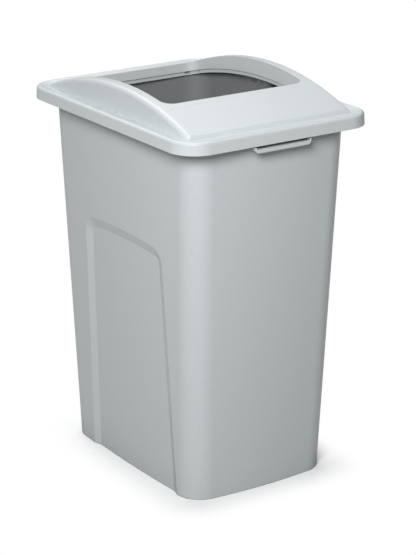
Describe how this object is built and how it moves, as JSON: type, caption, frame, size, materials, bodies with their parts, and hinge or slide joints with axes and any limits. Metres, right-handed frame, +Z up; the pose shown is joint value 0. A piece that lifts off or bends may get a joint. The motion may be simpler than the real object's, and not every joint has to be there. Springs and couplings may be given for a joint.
{
  "type": "waste bin with lid",
  "caption": "Tall tapered plastic waste bin with recessed side panels, end grips and a lift-off arched lid with an open throat.",
  "frame": {"origin": "middle of the base, on the surface that the bin stands on", "axes": "+Z up, the front end faces -Y, and +X is on the right of someone who looks at the front"},
  "size_m": [0.438, 0.587, 0.7975],
  "materials": {
    "body_plastic": "fine-grained moulded polyethylene, cool light grey",
    "lid_plastic": "fine-grained moulded polyethylene, slightly lighter cool grey"
  },
  "bodies": {
    "tub": {"body": "body_plastic"},
    "cover": {"lid": "lid_plastic"}
  },
  "joints": [
    {"name": "lid_lift", "type": "slide", "parent": "tub", "child": "cover", "axis": [0, 0, 1], "range_m": [0, 0.15]}
  ]
}
